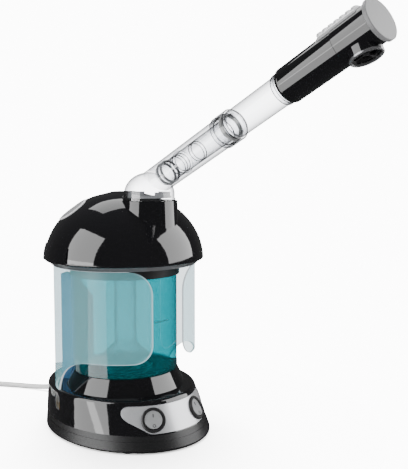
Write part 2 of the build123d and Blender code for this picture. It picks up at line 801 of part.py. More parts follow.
with BuildPart() as elbow_tube:
    with BuildSketch(neck_section):
        with BuildLine():
            EllipticalCenterArc((0, shoulder_z), turret_radius, turret_rise, start_angle=0, arc_size=90)
            Polyline(
                (0, shoulder_z + turret_rise),
                (0, spigot_foot_z),
                (spigot_radius, spigot_foot_z),
                (spigot_radius, turret_foot_z),
                (flange_radius, turret_foot_z),
                (flange_radius, turret_foot_z + 2),
                (turret_radius, turret_foot_z + 2),
                (turret_radius, shoulder_z),
            )
        make_face()
    revolve(axis=neck_axis)
    turned(
        arm_section,
        arm_axis,
        [(0, tube_start), (tube_radius, tube_start), (tube_radius, tube_end), (0, tube_end)],
    )
    with BuildSketch(neck_section):
        with BuildLine():
            EllipticalCenterArc(
                (0, shoulder_z),
                turret_radius - turret_wall,
                turret_rise - turret_wall,
                start_angle=0,
                arc_size=90,
            )
            Polyline(
                (0, shoulder_z + turret_rise - turret_wall),
                (0, spigot_foot_z),
                (spigot_bore, spigot_foot_z),
                (spigot_bore, turret_foot_z + turret_floor),
                (turret_radius - turret_wall, turret_foot_z + turret_floor),
                (turret_radius - turret_wall, shoulder_z),
            )
        make_face()
    revolve(axis=neck_axis, mode=Mode.SUBTRACT)
    turned(
        arm_section,
        arm_axis,
        [
            (0, bore_start),
            (tube_radius - tube_wall, bore_start),
            (tube_radius - tube_wall, tube_end),
            (0, tube_end),
        ],
        mode=Mode.SUBTRACT,
    )
    turned(
        neck_section,
        neck_axis,
        [
            (spigot_radius - ring_depth, ring_low_z),
            (spigot_radius + 1, ring_low_z),
            (spigot_radius + 1, ring_high_z),
            (spigot_radius - ring_depth, ring_high_z),
        ],
        mode=Mode.SUBTRACT,
    )
finish(elbow_tube, "elbow_tube")

with BuildPart() as retaining_ring:
    turned(
        neck_section,
        neck_axis,
        [
            (spigot_radius - ring_depth, ring_low_z),
            (neck_bore - 0.3, ring_low_z),
            (neck_bore - 0.3, ring_high_z),
            (spigot_radius - ring_depth, ring_high_z),
        ],
        arc=330,
    )
finish(retaining_ring, "retaining_ring")

detent_count, detent_height = 4, 5.5
with BuildPart() as detent_ring:
    with BuildSketch(Plane.XY.offset(turret_foot_z + turret_floor)):
        with Locations((0, -neck_offset)):
            Circle(20.8)
            Circle(17.6, mode=Mode.SUBTRACT)
    extrude(amount=detent_height)
    with BuildSketch(Plane.XY.offset(turret_foot_z + turret_floor + 1.6)):
        with Locations((0, -neck_offset)):
            with PolarLocations(0, detent_count, start_angle=45):
                with Locations((19, 0)):
                    Rectangle(9, 14)
    extrude(amount=detent_height, mode=Mode.SUBTRACT)
    with BuildSketch(Plane.XY.offset(turret_foot_z + turret_floor + detent_height - 1.2)):
        with Locations((0, -neck_offset)):
            with PolarLocations(0, 36):
                with Locations((20.2, 0)):
                    Rectangle(2.4, 1.2)
    extrude(amount=1.2, mode=Mode.SUBTRACT)
finish(detent_ring, "detent_ring")

seal_start, seal_end, mouth = 120.0, 122.6, 127.1
with BuildPart() as tube_collar:
    turned(
        arm_section,
        arm_axis,
        [
            (tube_radius, collar_start),
            (collar_radius, collar_start),
            (collar_radius, mouth),
            (tail_radius + running_gap, mouth),
            (tail_radius + running_gap, seal_end),
            (12.4, seal_end),
            (12.4, seal_start),
            (tube_radius, seal_start),
        ],
    )
    chamfer(tube_collar.edges().filter_by(GeomType.CIRCLE).group_by(SortBy.RADIUS)[-1], 0.6)
finish(tube_collar, "tube_collar")

with BuildPart() as collar_seal:
    turned(
        arm_section,
        arm_axis,
        [
            (tail_radius + 0.1, seal_start),
            (12.4, seal_start),
            (12.4, seal_end),
            (tail_radius + 0.1, seal_end),
        ],
    )
finish(collar_seal, "collar_seal")

tail_wall = 1.6
bead_start, bead_end, bead_radius = 52.0, 55.5, 11.0
with BuildPart() as upper_tube:
    turned(
        arm_section,
        arm_axis,
        [
            (tail_radius - tail_wall, tail_start),
            (tail_radius, tail_start),
            (tail_radius, bead_start),
            (bead_radius, bead_start + 0.8),
            (bead_radius, bead_end - 0.8),
            (tail_radius, bead_end),
            (tail_radius, step_start),
            (upper_radius, step_start),
            (upper_radius, upper_end),
            (upper_radius - upper_wall, upper_end),
            (upper_radius - upper_wall, step_start + 3),
            (tail_radius - tail_wall, step_start + 2),
            (tail_radius - tail_wall, 81.0),
            (tail_radius - tail_wall - 0.6, 80.0),
            (tail_radius - tail_wall - 0.6, 78.5),
            (tail_radius - tail_wall, 77.5),
        ],
    )
finish(upper_tube, "upper_tube")

with BuildPart() as tail_seals:
    for start in (27.0, 32.5):
        turned(
            arm_section,
            arm_axis,
            [
                (tail_radius, start),
                (tube_radius - tube_wall - running_gap, start + 0.5),
                (tube_radius - tube_wall - running_gap, start + 2.0),
                (tail_radius, start + 2.5),
            ],
        )
finish(tail_seals, "tail_seals")

# ==== head ====
bush_start, bush_end, bush_radius = 183.5, 199.0, 13.5
with BuildPart() as head_bush:
    turned(
        arm_section,
        arm_axis,
        [
            (upper_radius + running_gap, bush_start),
            (bush_radius - 0.6, bush_start),
            (bush_radius, bush_start + 1.2),
            (bush_radius, bush_end),
            (upper_radius + running_gap, bush_end),
        ],
    )
finish(head_bush, "head_bush")

outlet_plane = Plane(origin=arm_root + down_arm * outlet_station, x_dir=(1, 0, 0), z_dir=arm_up * -1)
with BuildPart() as head_body:
    with BuildSketch(arm_section):
        with BuildLine():
            Polyline(
                (bush_radius, bush_end),
                (bush_radius, head_start),
                (head_radius - 1.2, head_start),
            )
            RadiusArc((head_radius - 1.2, head_start), (head_radius, head_start + 3.5), -3.6)
            Polyline(
                (head_radius, head_start + 3.5),
                (head_radius, head_step),
                (head_front_radius, head_step + 0.6),
                (head_front_radius, head_end),
                (head_bore, head_end),
                (head_bore, bush_end),
                (bush_radius, bush_end),
            )
        make_face()
    revolve(axis=arm_axis)
    with BuildSketch(outlet_plane.offset(head_bore - 3)):
        Circle(outlet_radius)
    extrude(amount=outlet_drop - 1.8 - head_bore + 3)
    turned(
        arm_section,
        arm_axis,
        [(0, bush_end), (head_bore, bush_end), (head_bore, head_end), (0, head_end)],
        mode=Mode.SUBTRACT,
    )
    with BuildSketch(outlet_plane):
        Circle(outlet_bore)
    extrude(amount=outlet_drop, mode=Mode.SUBTRACT)
finish(head_body, "head_body")

with BuildPart() as nozzle_ring:
    with BuildSketch(outlet_plane.offset(outlet_drop - 1.8)):
        Circle(outlet_radius)
        Circle(outlet_bore, mode=Mode.SUBTRACT)
    extrude(amount=1.8)
    chamfer(nozzle_ring.edges().group_by(Axis(outlet_plane.origin, outlet_plane.z_dir))[-1], 0.6)
finish(nozzle_ring, "nozzle_ring")

with BuildPart() as nozzle_grate:
    with BuildSketch(outlet_plane.offset(outlet_drop - 4.6)):
        Circle(outlet_bore)
        Circle(outlet_bore - 1.4, mode=Mode.SUBTRACT)
        Rectangle(2 * outlet_bore - 1, 1.4)
        Rectangle(1.4, 2 * outlet_bore - 1)
        Circle(2.6)
    extrude(amount=1.6)
finish(nozzle_grate, "nozzle_grate")

# ---- ribbed grip on top of the head ----
grip_half_arc, grip_start, grip_end, grip_radius, rib_height, rib_count = 48.0, 233.0, 271.0, 16.9, 1.5, 7
rib_pitch = (grip_end - grip_start) / rib_count
grip_turn = radians(grip_half_arc)
grip_side = arm_up * cos(grip_turn) + Vector(1, 0, 0) * sin(grip_turn)
grip_section = Plane(origin=arm_root, x_dir=grip_side, z_dir=grip_side.cross(down_arm))
rib_half_arc = 36.0
rib_turn = radians(rib_half_arc)
rib_side = arm_up * cos(rib_turn) + Vector(1, 0, 0) * sin(rib_turn)
rib_section = Plane(origin=arm_root, x_dir=rib_side, z_dir=rib_side.cross(down_arm))
with BuildPart() as head_grip:
    turned(
        grip_section,
        arm_axis,
        [
            (head_bore + 1, grip_start),
            (head_radius + 0.4, grip_start),
            (grip_radius, grip_start + 4),
            (grip_radius, grip_end),
            (head_bore + 1, grip_end),
        ],
        arc=2 * grip_half_arc,
    )
    for rib in range(rib_count):
        rib_start = grip_start + (rib + 0.35) * rib_pitch
        turned(
            rib_section,
            arm_axis,
            [
                (head_bore + 1, rib_start),
                (grip_radius + 0.2 * rib_height, rib_start),
                (grip_radius + rib_height, rib_start + 1.3),
                (grip_radius + rib_height, rib_start + 2.2),
                (grip_radius + 0.2 * rib_height, rib_start + 3.0),
                (head_bore + 1, rib_start + 3.0),
            ],
            arc=2 * rib_half_arc,
        )
    add(head_body.part, mode=Mode.SUBTRACT)
finish(head_grip, "head_grip")

# ---- end cap with its scent basket ----
cap_start = head_end + 0.3
plug_start, plug_bore = 272.6, 11.5
with BuildPart() as end_cap:
    turned(
        arm_section,
        arm_axis,
        [
            (0, cap_start),
            (plug_bore, cap_start),
            (plug_bore, plug_start),
            (head_bore - running_gap, plug_start),
            (head_bore - running_gap, cap_start),
            (cap_radius, cap_start),
            (cap_radius, cap_start + cap_thickness),
            (0, cap_start + cap_thickness),
        ],
    )
    chamfer(end_cap.edges().filter_by(GeomType.CIRCLE).group_by(SortBy.RADIUS)[-1], 0.5)
finish(end_cap, "end_cap")

basket_radius, basket_start = 9.5, 262.5
with BuildPart() as scent_basket:
    turned(
        arm_section,
        arm_axis,
        [
            (0, basket_start),
            (basket_radius, basket_start),
            (basket_radius, cap_start),
            (basket_radius - 1.2, cap_start),
            (basket_radius - 1.2, basket_start + 1.2),
            (0, basket_start + 1.2),
        ],
    )
    with BuildSketch(across_arm(basket_start + 3)):
        with PolarLocations(0, 8):
            with Locations((basket_radius, 0)):
                Rectangle(4, 2.2)
    extrude(amount=9, mode=Mode.SUBTRACT)
finish(scent_basket, "scent_basket")

with BuildPart() as scent_pad:
    with BuildSketch(across_arm(basket_start + 1.2)):
        Circle(basket_radius - 1.4)
    extrude(amount=8)
finish(scent_pad, "scent_pad")

# ==== cord ====
relief_start, relief_base, relief_tip, groove_pitch = 88.6, 4.5, 3.1, 4.2
with BuildPart() as strain_relief:
    with BuildSketch(Plane.YZ):
        with BuildLine():
            Polyline(
                (relief_start - 2.4, exit_z),
                (exit_y, exit_z),
                (exit_y, exit_z + relief_tip),
                (94, exit_z + relief_base),
                (relief_start, exit_z + relief_base),
                (relief_start, exit_z + 5.6),
                (relief_start - 2.4, exit_z + 5.6),
                close=True,
            )
        make_face()
    revolve(axis=Axis((0, 0, exit_z), (0, 1, 0)))
    for groove in range(5):
        groove_y = 97 + groove * groove_pitch
        with BuildSketch(Plane.XZ.offset(-groove_y)):
            with Locations((0, exit_z)):
                Circle(relief_base + 1)
                Circle(relief_tip - 0.3, mode=Mode.SUBTRACT)
        extrude(amount=-1.6, mode=Mode.SUBTRACT)
finish(strain_relief, "strain_relief")

coil_centre = (-81.3, 215.3)
coil_radius, coil_pitch, coil_lanes, coil_lead_angle = 36.5, 5.0, 4, 20.0
coil_layers_height = 10.0
lead_in = (
    coil_centre[0] + coil_radius * cos(radians(coil_lead_angle)),
    coil_centre[1] + coil_radius * sin(radians(coil_lead_angle)),
    cord_radius,
)
coil_middle = coil_radius - (coil_lanes - 1) * coil_pitch / 2
with BuildPart() as cord_coil:
    with BuildSketch(Plane.XZ.offset(-coil_centre[1])):
        with Locations((coil_centre[0] + coil_middle, coil_layers_height / 2)):
            RectangleRounded(coil_lanes * coil_pitch, coil_layers_height, 2)
    revolve(axis=Axis((coil_centre[0], coil_centre[1], 0), (0, 0, 1)))
finish(cord_coil, "cord_coil")

cord_route = [
    (0, exit_y, exit_z),
    (0.6, 134.0, 8.4),
    (-3.5, 151.0, 4.0),
    (-11.5, 167.0, 2.6),
    (-21.0, 183.0, 2.5),
    (-32.0, 199.5, 2.5),
    (-41.6, 213.5, 2.5),
    lead_in,
]
print("cord radii", [round(radius, 1) for radius in corner_radii(cord_route)])
with BuildPart() as power_cord:
    cord_tube(cord_route)
    add(strain_relief.part, mode=Mode.SUBTRACT)
    add(cord_coil.part, mode=Mode.SUBTRACT)
finish(power_cord, "power_cord")

plug_spot = (-117.0, 173.3, 7.6)
tail_route = [
    (coil_centre[0] - coil_radius, coil_centre[1], coil_layers_height - cord_radius),
    (-118.6, 201.3, 6.7),
    (-117.9, 187.3, 6.8),
    plug_spot,
]
print("tail radii", [round(radius, 1) for radius in corner_radii(tail_route)])
plug_length, plug_sleeve = 26.0, 12.0
plug_back = Plane(origin=plug_spot, x_dir=(1, 0, 0), z_dir=(0, -1, 0))
with BuildPart() as plug_body:
    with BuildSketch(plug_back):
        Circle(3.2)
    with BuildSketch(plug_back.offset(plug_sleeve)):
        Circle(4.6)
    loft()
    with BuildSketch(plug_back.offset(plug_sleeve)):
        RectangleRounded(15, 11, 3)
    with BuildSketch(plug_back.offset(plug_sleeve + plug_length)):
        RectangleRounded(24, 15, 3)
    loft()
finish(plug_body, "plug_body")

with BuildPart() as cord_tail:
    cord_tube(tail_route)
    add(cord_coil.part, mode=Mode.SUBTRACT)
    add(plug_body.part, mode=Mode.SUBTRACT)
finish(cord_tail, "cord_tail")

with BuildPart() as plug_pins:
    with BuildSketch(plug_back.offset(plug_sleeve + plug_length)):
        with GridLocations(12.7, 0, 2, 1):
            Rectangle(1.5, 6.3)
    extrude(amount=17)
    chamfer(plug_pins.faces().sort_by(Axis.Y)[:2].edges(), 0.5)
finish(plug_pins, "plug_pins")
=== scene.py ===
import json
import math

import bmesh
import bpy
from mathutils import Matrix, Vector


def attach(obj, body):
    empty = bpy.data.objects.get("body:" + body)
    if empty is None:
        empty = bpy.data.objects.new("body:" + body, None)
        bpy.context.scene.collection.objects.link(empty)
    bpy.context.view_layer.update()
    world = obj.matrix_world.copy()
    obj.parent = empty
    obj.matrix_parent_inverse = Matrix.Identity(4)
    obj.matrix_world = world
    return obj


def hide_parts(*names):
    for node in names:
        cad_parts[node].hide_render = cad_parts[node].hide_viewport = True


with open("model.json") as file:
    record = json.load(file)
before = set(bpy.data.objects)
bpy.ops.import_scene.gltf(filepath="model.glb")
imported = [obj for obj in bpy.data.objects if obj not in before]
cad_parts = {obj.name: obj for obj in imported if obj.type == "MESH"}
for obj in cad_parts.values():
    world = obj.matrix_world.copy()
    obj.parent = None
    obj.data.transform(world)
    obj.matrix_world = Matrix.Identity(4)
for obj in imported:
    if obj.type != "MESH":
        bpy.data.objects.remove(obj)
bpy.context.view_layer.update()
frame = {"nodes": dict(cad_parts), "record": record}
nodes = frame["nodes"]
scene = bpy.context.scene

# ---- camera: level roll, looking a little down at the front left ----
VIEW_FROM = (-0.433754, -0.584213, 0.258733)
VIEW_AZIMUTH, VIEW_DOWN, LENS = math.radians(-42.876), math.radians(5.157), 55.585
NEAREST_SEEN = 0.01
camera_data = bpy.data.cameras.new("camera")
camera_data.lens = LENS
camera_data.clip_start = NEAREST_SEEN
camera = bpy.data.objects.new("camera", camera_data)
scene.collection.objects.link(camera)
camera.location = VIEW_FROM
camera.rotation_euler = (math.pi / 2 - VIEW_DOWN, 0, VIEW_AZIMUTH)
scene.camera = camera


# ---- materials ----
COAT_ROUGHNESS, GRAIN_DEPTH = 0.03, 0.0002
CLEAR_ROUGHNESS, FACING_BLEND, EDGE_SHINE, FACE_SHINE = 0.04, 0.5, 0.5, 0.05
# Painted highlight: the frost edge colour and its glow make the shell's cut edges shine near-white by emission.
FROST_SEEN_THROUGH, FROST_ROUGHNESS, FROST_EDGE_SLOPE, FROST_HIGHLIGHT_GLOW = 0.7, 0.25, 0.6, 0.85
FROST_TINT, FROST_MILK, FROST_PAINTED_HIGHLIGHT = (0.82, 0.88, 0.91, 1), (0.34, 0.9, 0.98), (0.86, 0.95, 1, 1)
WHITE = (1, 1, 1, 1)


def new_material(name):
    """An empty node material and its output."""
    material = bpy.data.materials.new(name)
    material.use_nodes = True
    tree = material.node_tree
    tree.nodes.clear()
    return material, tree, tree.nodes.new("ShaderNodeOutputMaterial")


def feed(tree, sockets, values):
    """Gives each input socket its value: a constant, or the output socket that supplies it."""
    for socket, value in zip(sockets, values):
        if isinstance(value, bpy.types.NodeSocket):
            tree.links.new(value, socket)
        else:
            socket.default_value = value


def worked_out(tree, operation, *values, clamp=False):
    """The result of a Math node."""
    node = tree.nodes.new("ShaderNodeMath")
    node.operation = operation
    node.use_clamp = clamp
    feed(tree, node.inputs, values)
    return node.outputs[0]


def mixed(tree, share, first, second):
    """Two shaders mixed, with the share that the second one has."""
    node = tree.nodes.new("ShaderNodeMixShader")
    feed(tree, node.inputs, (share, first, second))
    return node.outputs[0]


def principled(tree, color, rough, metal=0.0, coat=0.0):
    """A Principled shader node with constant values."""
    shader = tree.nodes.new("ShaderNodeBsdfPrincipled")
    shader.inputs["Base Color"].default_value = (*color, 1)
    shader.inputs["Roughness"].default_value = rough
    shader.inputs["Metallic"].default_value = metal
    shader.inputs["Coat Weight"].default_value = coat
    shader.inputs["Coat Roughness"].default_value = COAT_ROUGHNESS
    return shader


def solid(name, color, rough, metal=0.0, coat=0.0, grain=0.0, grain_scale=900.0):
    """An opaque material, with a fine moulded grain where one is asked for."""
    material, tree, output = new_material(name)
    shader = principled(tree, color, rough, metal, coat)
    if grain:
        place = tree.nodes.new("ShaderNodeTexCoord")
        noise = tree.nodes.new("ShaderNodeTexNoise")
        noise.inputs["Scale"].default_value = grain_scale
        bump = tree.nodes.new("ShaderNodeBump")
        bump.inputs["Strength"].default_value = grain
        bump.inputs["Distance"].default_value = GRAIN_DEPTH
        tree.links.new(place.outputs["Object"], noise.inputs["Vector"])
        tree.links.new(noise.outputs["Fac"], bump.inputs["Height"])
        tree.links.new(bump.outputs["Normal"], shader.inputs["Normal"])
    tree.links.new(shader.outputs[0], output.inputs["Surface"])
    return material


def clear(name, tint, edge_tint, body, see_through, edge_power=5.0):
    """Thin clear plastic: light goes straight through, it darkens towards its edges, and its outside shines."""
    material, tree, output = new_material(name)
    facing = tree.nodes.new("ShaderNodeLayerWeight")
    facing.inputs["Blend"].default_value = FACING_BLEND
    steep = worked_out(tree, "POWER", facing.outputs["Facing"], edge_power)
    tints = tree.nodes.new("ShaderNodeMix")
    tints.data_type = "RGBA"
    tints.inputs["A"].default_value = (*tint, 1)
    tints.inputs["B"].default_value = (*edge_tint, 1)
    tree.links.new(steep, tints.inputs["Factor"])
    straight = tree.nodes.new("ShaderNodeBsdfTransparent")
    tree.links.new(tints.outputs["Result"], straight.inputs["Color"])
    milk = principled(tree, body, CLEAR_ROUGHNESS)
    shine = tree.nodes.new("ShaderNodeBsdfGlossy")
    shine.inputs["Color"].default_value = WHITE
    shine.inputs["Roughness"].default_value = CLEAR_ROUGHNESS
    geometry = tree.nodes.new("ShaderNodeNewGeometry")
    shine_share = worked_out(tree, "MULTIPLY_ADD", steep, EDGE_SHINE, FACE_SHINE)
    front = worked_out(tree, "SUBTRACT", 1.0, geometry.outputs["Backfacing"])
    outside = worked_out(tree, "MULTIPLY", shine_share, front)
    wall = mixed(tree, see_through, milk.outputs[0], straight.outputs[0])
    skin = mixed(tree, outside, wall, shine.outputs[0])
    tree.links.new(skin, output.inputs["Surface"])
    return material


def frosted_and_highlit(name):
    """The shell: milky where it faces outwards from the tank; its cut edges glow near-white as a painted
    highlight.
    """
    material, tree, output = new_material(name)
    geometry = tree.nodes.new("ShaderNodeNewGeometry")
    split = tree.nodes.new("ShaderNodeSeparateXYZ")
    tree.links.new(geometry.outputs["Position"], split.inputs[0])
    flat = tree.nodes.new("ShaderNodeCombineXYZ")
    tree.links.new(split.outputs["X"], flat.inputs["X"])
    tree.links.new(split.outputs["Y"], flat.inputs["Y"])
    outward = tree.nodes.new("ShaderNodeVectorMath")
    outward.operation = "NORMALIZE"
    tree.links.new(flat.outputs[0], outward.inputs[0])
    along = tree.nodes.new("ShaderNodeVectorMath")
    along.operation = "DOT_PRODUCT"
    tree.links.new(outward.outputs["Vector"], along.inputs[0])
    tree.links.new(geometry.outputs["True Normal"], along.inputs[1])
    size = worked_out(tree, "ABSOLUTE", along.outputs["Value"])
    # The cut edges, which get the painted highlight.
    highlit_edge = worked_out(tree, "LESS_THAN", size, FROST_EDGE_SLOPE)
    straight = tree.nodes.new("ShaderNodeBsdfTransparent")
    straight.inputs["Color"].default_value = FROST_TINT
    milk = principled(tree, FROST_MILK, FROST_ROUGHNESS)
    # Painted highlight: an emission that makes the cut edges glow near-white.
    painted_rim_highlight = tree.nodes.new("ShaderNodeEmission")
    painted_rim_highlight.inputs["Color"].default_value = FROST_PAINTED_HIGHLIGHT
    painted_rim_highlight.inputs["Strength"].default_value = FROST_HIGHLIGHT_GLOW
    body = mixed(tree, FROST_SEEN_THROUGH, milk.outputs[0], straight.outputs[0])
    tree.links.new(mixed(tree, highlit_edge, body, painted_rim_highlight.outputs[0]), output.inputs["Surface"])
    return material


looks = {
    "gloss_black": solid("gloss_black", (0.006, 0.006, 0.007), 0.06, coat=0.6),
    "skirt_grey": solid("skirt_grey", (0.009, 0.009, 0.01), 0.38, grain=0.2),
    "inner_black": solid("inner_black", (0.015, 0.015, 0.016), 0.35),
    "foot_rubber": solid("foot_rubber", (0.02, 0.02, 0.02), 0.75, grain=0.3),
    "seal_rubber": solid("seal_rubber", (0.62, 0.62, 0.6), 0.5),
    "steel": solid("steel", (0.55, 0.55, 0.57), 0.28, metal=1),
    "panel_silver": solid("panel_silver", (0.66, 0.67, 0.69), 0.3, metal=0.55, coat=0.3),
    "rocker_silver": solid("rocker_silver", (0.5, 0.51, 0.52), 0.3, metal=0.5, coat=0.3),
    "contact_brass": solid("contact_brass", (0.7, 0.52, 0.22), 0.3, metal=1),
    "boiler_metal": solid("boiler_metal", (0.6, 0.6, 0.61), 0.38, metal=1),
    "board_green": solid("board_green", (0.02, 0.16, 0.07), 0.4),
    "mark_white": solid("mark_white", (0.02, 0.16, 0.18), 0.5),
    "white_plastic": solid("white_plastic", (0.72, 0.72, 0.72), 0.35),
    "cap_grey": solid("cap_grey", (0.2, 0.2, 0.205), 0.38, grain=0.15, grain_scale=1600.0),
    "pad_felt": solid("pad_felt", (0.75, 0.72, 0.66), 0.95, grain=0.8, grain_scale=500.0),
    "cord_white": solid("cord_white", (0.8, 0.8, 0.79), 0.4),
    "duct_blue": solid("duct_blue", (0.05, 0.22, 0.45), 0.4),
    "lip_grey": solid("lip_grey", (0.08, 0.082, 0.086), 0.25),
    # Painted highlight: this near-white lip colour stands for the highlight along the lips of the head grip and
    # the button cups.
    "lip_painted_highlight": solid("lip_painted_highlight", (0.75, 0.75, 0.76), 0.3),
    "line_grey": solid("line_grey", (0.05, 0.052, 0.055), 0.3),
    "nozzle_steel": solid("nozzle_steel", (0.3, 0.3, 0.31), 0.25, metal=0.8),
    "clip_grey": solid("clip_grey", (0.32, 0.33, 0.34), 0.3),
    "tank_teal": clear(
        "tank_teal",
        tint=(0.0, 0.52, 0.56),
        edge_tint=(0.0, 0.2, 0.24),
        body=(0.0, 0.4, 0.44),
        see_through=0.86,
        edge_power=3.0,
    ),
    "clear_plastic": clear(
        "clear_plastic",
        tint=(0.955, 0.96, 0.972),
        edge_tint=(0.02, 0.022, 0.026),
        body=(0.85, 0.87, 0.9),
        see_through=0.985,
        edge_power=1.7,
    ),
    "lamp_glass": clear(
        "lamp_glass",
        tint=(0.95, 0.95, 0.98),
        edge_tint=(0.6, 0.6, 0.65),
        body=(0.8, 0.8, 0.85),
        see_through=0.9,
    ),
    "shell_frost": frosted_and_highlit("shell_frost"),
}
# Each piece takes its record's slot, apart from those that are given a look of their own.
node_look = {row["node"]: row["material_slot"] for row in frame["record"]["subparts"]}
node_look |= {
    "wiring_duct": "duct_blue",
    "upper_tube": "clear_plastic",
    "head_bush": "clear_plastic",
    "swivel_bush": "clear_plastic",
    # The head grip and the button cups take the painted highlight colour on their lips.
    "head_grip": "lip_painted_highlight",
    "button_cup_left": "lip_painted_highlight",
    "button_cup_right": "lip_painted_highlight",
    "trim_ring": "lip_grey",
    "nozzle_ring": "nozzle_steel",
    "tail_seals": "clip_grey",
    "detent_ring": "clip_grey",
}
for name, obj in nodes.items():
    obj.data.materials.clear()
    obj.data.materials.append(looks[node_look[name]])

# ---- clear walls: the inner face is left out, so that light crosses each wall once ----
NECK_OFFSET = 0.0402
ARM_ROOT = Vector((0, -NECK_OFFSET, 0.2425))
ARM_TILT = math.radians(25)
ALONG_ARM = Vector((0, -math.cos(ARM_TILT), math.sin(ARM_TILT)))
TUBE_BORE, TURRET_MIDDLE_Z, TURRET_INSIDE = 0.0118, 0.235, 0.0235
ON_AXIS = 1e-6
BORE_SLOPE, WALL_SLOPE = 0.3, 0.5


def from_arm(point):
    """How far along the arm a point lies, and how far off its axis."""
    away = point - ARM_ROOT
    station = away.dot(ALONG_ARM)
    return station, (away - ALONG_ARM * station).length


def skin_of(name, inner_face, look, body):
    """A copy of a clear CAD piece without the faces that inner_face picks out by their middle and normal."""
    mesh = nodes[name].data.copy()
    mesh.name = f"{name}_skin"
    cut = bmesh.new()
    cut.from_mesh(mesh)
    inner = [face for face in cut.faces if inner_face(face.calc_center_median(), face.normal)]
    bmesh.ops.delete(cut, geom=inner, context="FACES")
    cut.to_mesh(mesh)
    cut.free()
    skin = bpy.data.objects.new(f"{name}_skin", mesh)
    scene.collection.objects.link(skin)
    skin.data.materials.clear()
    skin.data.materials.append(looks[look])
    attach(skin, body)
    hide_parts(name)


def faces_arm_axis(point, normal):
    """A face of a tube's bore: its normal points at the arm's axis."""
    station, off = from_arm(point)
    if off < ON_AXIS:
        return False
    out = point - ARM_ROOT - ALONG_ARM * station
    return normal.dot(out) < -BORE_SLOPE * off


def faces_elbow_inside(point, normal):
    """A face of the elbow's bore or of the inside of its turret."""
    station, off = from_arm(point)
    if off < TUBE_BORE and station > 0:
        return faces_arm_axis(point, normal)
    middle = Vector((0, -NECK_OFFSET, TURRET_MIDDLE_Z))
    return (point - middle).length < TURRET_INSIDE and normal.dot(point - middle) < 0


def faces_tank_axis(point, normal):
    """A face whose normal points at the tank's axis."""
    off = math.hypot(point.x, point.y)
    return off > ON_AXIS and (normal.x * point.x + normal.y * point.y) < -WALL_SLOPE * off


skin_of("upper_tube", faces_arm_axis, "clear_plastic", "extension")
skin_of("elbow_tube", faces_elbow_inside, "clear_plastic", "arm")
skin_of("water_tank", faces_tank_axis, "tank_teal", "base")
skin_of("steam_riser", faces_tank_axis, "clear_plastic", "base")
skin_of("frosted_shell", faces_tank_axis, "shell_frost", "base")


# ---- moulded rings in the clear tubes, by their distance along the arm ----
def ring(name, station, radius, thickness, body):
    """A thin round ring square to the arm."""
    bpy.ops.mesh.primitive_torus_add(
        major_radius=radius,
        minor_radius=thickness,
        major_segments=72,
        minor_segments=10,
        location=ARM_ROOT + ALONG_ARM * station,
        rotation=ALONG_ARM.to_track_quat("Z", "Y").to_euler(),
    )
    made = bpy.context.object
    made.name = name
    made.data.materials.append(looks["line_grey"])
    for face in made.data.polygons:
        face.use_smooth = True
    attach(made, body)


TAIL_RADIUS, TAIL_THICKNESS, BUSH_THICKNESS = 0.0087, 0.0004, 0.0003
TAIL_STATIONS = (0.046, 0.0495, 0.0535, 0.074, 0.0775)
BUSH_STATION_RADIUS = ((0.1838, 0.0131), (0.1872, 0.0133), (0.1888, 0.0133))
COLLAR_STATION_RADIUS_THICKNESS = (
    (0.1105, 0.0141, 0.0003),
    (0.1265, 0.0137, 0.0005),
    (0.1285, 0.0123, 0.0003),
    (0.1125, 0.0118, 0.0005),
)
for index, station in enumerate(TAIL_STATIONS):
    ring(f"tail_ring_{index}", station, TAIL_RADIUS, TAIL_THICKNESS, "extension")
for index, (station, radius) in enumerate(BUSH_STATION_RADIUS):
    ring(f"bush_ring_{index}", station, radius, BUSH_THICKNESS, "head")
for index, (station, radius, thickness) in enumerate(COLLAR_STATION_RADIUS_THICKNESS):
    ring(f"collar_ring_{index}", station, radius, thickness, "arm")

# ---- on and off marks: a bar above the rocker's pin and a circle below it ----
MARK_LIFT, BAR_WIDE, BAR_HIGH, CIRCLE_RADIUS, MARK_THICK = 0.00005, 0.0007, 0.003, 0.0013, 0.00026
MARK_REACH, PROBE_HEIGHT = 0.0045, 0.02
PANEL_LEAN = math.radians(14)
UP = Vector((0, 0, 1))
joints = {joint["name"]: joint for joint in frame["record"]["behaviour"]["joints"]}


def rocker_spot(rocker, joint, reach):
    """Place and normal of a rocker's face at a distance above its pin, and the direction called above."""
    pivot, level = Vector(joint["pos_m"]), Vector(joint["axis"])
    outward = level.cross(UP) * math.cos(PANEL_LEAN) + UP * math.sin(PANEL_LEAN)
    outward.normalize()
    above = outward.cross(level)
    start = pivot + above * reach + outward * PROBE_HEIGHT
    _, spot, normal, _ = nodes[rocker].ray_cast(start, -outward)
    return spot, normal, above


for rocker, joint_name in (("steam_rocker", "steam_rock"), ("ozone_rocker", "ozone_rock")):
    spot, normal, above = rocker_spot(rocker, joints[joint_name], MARK_REACH)
    bpy.ops.mesh.primitive_cube_add(size=1, location=spot + normal * MARK_LIFT)
    bar = bpy.context.object
    bar.name = f"{rocker}_on_mark"
    bar.scale = (BAR_WIDE, BAR_HIGH, 2 * MARK_THICK)
    across = above.cross(normal).normalized()
    bar.rotation_euler = Matrix((across, normal.cross(across), normal)).transposed().to_euler()
    spot, normal, above = rocker_spot(rocker, joints[joint_name], -MARK_REACH)
    bpy.ops.mesh.primitive_torus_add(
        major_radius=CIRCLE_RADIUS,
        minor_radius=MARK_THICK,
        major_segments=40,
        minor_segments=8,
        location=spot + normal * MARK_LIFT,
        rotation=normal.to_track_quat("Z", "Y").to_euler(),
    )
    circle = bpy.context.object
    circle.name = f"{rocker}_off_mark"
    for mark in (bar, circle):
        mark.data.materials.append(looks["inner_black"])
        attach(mark, rocker)

